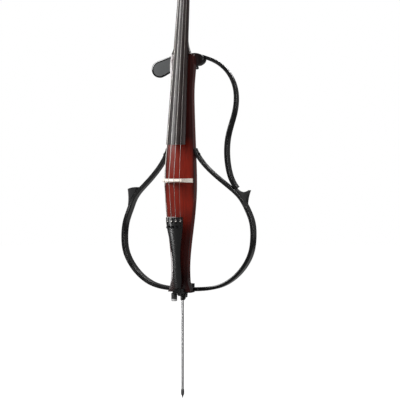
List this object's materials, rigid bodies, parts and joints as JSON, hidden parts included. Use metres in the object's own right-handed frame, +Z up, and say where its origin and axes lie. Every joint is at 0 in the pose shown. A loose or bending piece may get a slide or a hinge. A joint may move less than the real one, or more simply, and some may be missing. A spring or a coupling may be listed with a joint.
{
  "type": "skeleton-type electric cello",
  "caption": "Silent cello with a slim hollow body, ribbon frames in place of the bouts, sliding endpin, swinging chest support and pegs that turn.",
  "frame": {"origin": "point of the endpin, on the floor", "axes": "+Z runs up along the endpin and the body towards the head, the front with the strings faces -Y, +X is the right side seen from the front"},
  "size_m": [0.449, 0.2199, 1.5441],
  "materials": {
    "body_front": "gloss red-brown sunburst lacquer",
    "body_shell": "gloss dark brown lacquer",
    "inner_blocks": "bare",
    "neck": "satin dark lacquer",
    "pegbox": "satin dark lacquer",
    "fingerboard": "oiled black wood",
    "nut": "polished black wood",
    "bridge": "bare pale maple",
    "bridge_pickup": "plain",
    "tailpiece": "gloss black",
    "tuner_axle": "plain",
    "tail_cord": "black",
    "saddle": "polished black wood",
    "endpin_socket": "satin black",
    "upper_frame": "gloss black",
    "left_frame": "gloss black",
    "right_frame": "gloss black",
    "corner_blocks": "gloss black",
    "frame_yoke": "satin black",
    "shoulder_bracket": "satin black",
    "frame_bolts": "black oxide",
    "control_plate": "satin black",
    "plate_screws": "plain",
    "circuit_board": "green board",
    "line_out_jack": "polished",
    "headphone_jack": "polished",
    "battery_cells": "gloss",
    "string_c": "flat-wound",
    "peg_c": "polished black wood",
    "winding_c": "flat-wound",
    "fine_screw_c": "knurled",
    "tuner_lever_c": "plain",
    "string_g": "flat-wound",
    "peg_g": "polished black wood",
    "winding_g": "flat-wound",
    "fine_screw_g": "knurled",
    "tuner_lever_g": "plain",
    "string_d": "flat-wound",
    "peg_d": "polished black wood",
    "winding_d": "flat-wound",
    "fine_screw_d": "knurled",
    "tuner_lever_d": "plain",
    "string_a": "flat-wound",
    "peg_a": "polished black wood",
    "winding_a": "flat-wound",
    "fine_screw_a": "knurled",
    "tuner_lever_a": "plain",
    "endpin_rod": "drawn steel",
    "endpin_tip": "turned steel",
    "endpin_screw": "black",
    "chest_arm": "satin dark grey",
    "chest_pad": "soft foam",
    "volume_knob": "satin black",
    "tone_knob": "satin black",
    "power_switch": "satin",
    "battery_door": "satin black",
    "left_frame_knob": "black",
    "right_frame_knob": "black",
    "bracket_knob": "black"
  },
  "bodies": {
    "instrument": {"body_front": "body_front", "body_shell": "body_shell", "inner_blocks": "inner_blocks", "neck": "neck", "pegbox": "pegbox", "fingerboard": "fingerboard", "nut": "nut", "bridge": "bridge", "bridge_pickup": "bridge_pickup", "tailpiece": "tailpiece", "tuner_axle": "tuner_axle", "tail_cord": "tail_cord", "saddle": "saddle", "endpin_socket": "endpin_socket", "upper_frame": "upper_frame", "left_frame": "left_frame", "right_frame": "right_frame", "corner_blocks": "corner_blocks", "frame_yoke": "frame_yoke", "shoulder_bracket": "shoulder_bracket", "frame_bolts": "frame_bolts", "control_plate": "control_plate", "plate_screws": "plate_screws", "circuit_board": "circuit_board", "line_out_jack": "line_out_jack", "headphone_jack": "headphone_jack", "battery_cells": "battery_cells", "string_c": "string_c", "string_g": "string_g", "string_d": "string_d", "string_a": "string_a"},
    "peg_body_c": {"peg_c": "peg_c", "winding_c": "winding_c"},
    "peg_body_g": {"peg_g": "peg_g", "winding_g": "winding_g"},
    "peg_body_d": {"peg_d": "peg_d", "winding_d": "winding_d"},
    "peg_body_a": {"peg_a": "peg_a", "winding_a": "winding_a"},
    "fine_screw_body_c": {"fine_screw_c": "fine_screw_c"},
    "lever_body_c": {"tuner_lever_c": "tuner_lever_c"},
    "fine_screw_body_g": {"fine_screw_g": "fine_screw_g"},
    "lever_body_g": {"tuner_lever_g": "tuner_lever_g"},
    "fine_screw_body_d": {"fine_screw_d": "fine_screw_d"},
    "lever_body_d": {"tuner_lever_d": "tuner_lever_d"},
    "fine_screw_body_a": {"fine_screw_a": "fine_screw_a"},
    "lever_body_a": {"tuner_lever_a": "tuner_lever_a"},
    "endpin": {"endpin_rod": "endpin_rod", "endpin_tip": "endpin_tip"},
    "endpin_clamp": {"endpin_screw": "endpin_screw"},
    "chest_support": {"chest_arm": "chest_arm", "chest_pad": "chest_pad"},
    "volume": {"volume_knob": "volume_knob"},
    "tone": {"tone_knob": "tone_knob"},
    "switch": {"power_switch": "power_switch"},
    "door": {"battery_door": "battery_door"},
    "left_knob": {"left_frame_knob": "left_frame_knob"},
    "right_knob": {"right_frame_knob": "right_frame_knob"},
    "upper_knob": {"bracket_knob": "bracket_knob"}
  },
  "joints": [
    {"name": "peg_c_turn", "type": "hinge", "parent": "instrument", "child": "peg_body_c", "pos_m": [0, 0.0527, 1.42925], "axis": [1, 0, 0], "continuous": true},
    {"name": "peg_g_turn", "type": "hinge", "parent": "instrument", "child": "peg_body_g", "pos_m": [0, 0.0699, 1.47406], "axis": [1, 0, 0], "continuous": true},
    {"name": "peg_d_turn", "type": "hinge", "parent": "instrument", "child": "peg_body_d", "pos_m": [0, 0.0613, 1.45165], "axis": [1, 0, 0], "continuous": true},
    {"name": "peg_a_turn", "type": "hinge", "parent": "instrument", "child": "peg_body_a", "pos_m": [0, 0.04482, 1.40871], "axis": [1, 0, 0], "continuous": true},
    {"name": "fine_screw_c_turn", "type": "hinge", "parent": "instrument", "child": "fine_screw_body_c", "pos_m": [-0.021, -0.07818, 0.54449], "axis": [0, 0.9871, 0.1599], "range_deg": [0, 720]},
    {"name": "tuner_lever_c_tilt", "type": "hinge", "parent": "instrument", "child": "lever_body_c", "pos_m": [-0.021, -0.07237, 0.56367], "axis": [1, 0, 0], "range_deg": [0, 5]},
    {"name": "fine_screw_g_turn", "type": "hinge", "parent": "instrument", "child": "fine_screw_body_g", "pos_m": [-0.007, -0.07818, 0.54449], "axis": [0, 0.9871, 0.1599], "range_deg": [0, 720]},
    {"name": "tuner_lever_g_tilt", "type": "hinge", "parent": "instrument", "child": "lever_body_g", "pos_m": [-0.007, -0.07237, 0.56367], "axis": [1, 0, 0], "range_deg": [0, 5]},
    {"name": "fine_screw_d_turn", "type": "hinge", "parent": "instrument", "child": "fine_screw_body_d", "pos_m": [0.007, -0.07818, 0.54449], "axis": [0, 0.9871, 0.1599], "range_deg": [0, 720]},
    {"name": "tuner_lever_d_tilt", "type": "hinge", "parent": "instrument", "child": "lever_body_d", "pos_m": [0.007, -0.07237, 0.56367], "axis": [1, 0, 0], "range_deg": [0, 5]},
    {"name": "fine_screw_a_turn", "type": "hinge", "parent": "instrument", "child": "fine_screw_body_a", "pos_m": [0.021, -0.07818, 0.54449], "axis": [0, 0.9871, 0.1599], "range_deg": [0, 720]},
    {"name": "tuner_lever_a_tilt", "type": "hinge", "parent": "instrument", "child": "lever_body_a", "pos_m": [0.021, -0.07237, 0.56367], "axis": [1, 0, 0], "range_deg": [0, 5]},
    {"name": "endpin_slide", "type": "slide", "parent": "instrument", "child": "endpin", "axis": [0, 0, 1], "range_m": [-0.05, 0.275]},
    {"name": "endpin_screw_turn", "type": "hinge", "parent": "instrument", "child": "endpin_clamp", "pos_m": [0, 0.008, 0.318], "axis": [0, 1, 0], "range_deg": [0, 720]},
    {"name": "chest_support_swing", "type": "hinge", "parent": "instrument", "child": "chest_support", "pos_m": [-0.012, 0.0469, 1.084], "axis": [0, 1, 0], "range_deg": [-64, 20]},
    {"name": "volume_turn", "type": "hinge", "parent": "instrument", "child": "volume", "pos_m": [0, 0.037, 0.925], "axis": [0, 1, 0], "range_deg": [-150, 150]},
    {"name": "tone_turn", "type": "hinge", "parent": "instrument", "child": "tone", "pos_m": [0, 0.037, 0.895], "axis": [0, 1, 0], "range_deg": [-150, 150]},
    {"name": "power_switch_slide", "type": "slide", "parent": "instrument", "child": "switch", "axis": [0, 0, 1], "range_m": [-0.0025, 0.0025]},
    {"name": "battery_door_swing", "type": "hinge", "parent": "instrument", "child": "door", "pos_m": [0, 0.0319, 0.5369], "axis": [-1, 0, 0], "range_deg": [0, 100]},
    {"name": "left_frame_knob_turn", "type": "hinge", "parent": "instrument", "child": "left_knob", "pos_m": [-0.024, -0.012, 0.33], "axis": [0, 0, 1], "range_deg": [0, 720]},
    {"name": "right_frame_knob_turn", "type": "hinge", "parent": "instrument", "child": "right_knob", "pos_m": [0.017, -0.015, 0.33], "axis": [0, 0, 1], "range_deg": [0, 720]},
    {"name": "bracket_knob_turn", "type": "hinge", "parent": "instrument", "child": "upper_knob", "pos_m": [0.029, 0.048, 1.05], "axis": [0, 0, 1], "range_deg": [0, 720]}
  ],
  "couplings": [
    {"joint": "tuner_lever_c_tilt", "follows": "fine_screw_c_turn", "ratio": 0.0066},
    {"joint": "tuner_lever_g_tilt", "follows": "fine_screw_g_turn", "ratio": 0.0066},
    {"joint": "tuner_lever_d_tilt", "follows": "fine_screw_d_turn", "ratio": 0.0066},
    {"joint": "tuner_lever_a_tilt", "follows": "fine_screw_a_turn", "ratio": 0.0066}
  ]
}
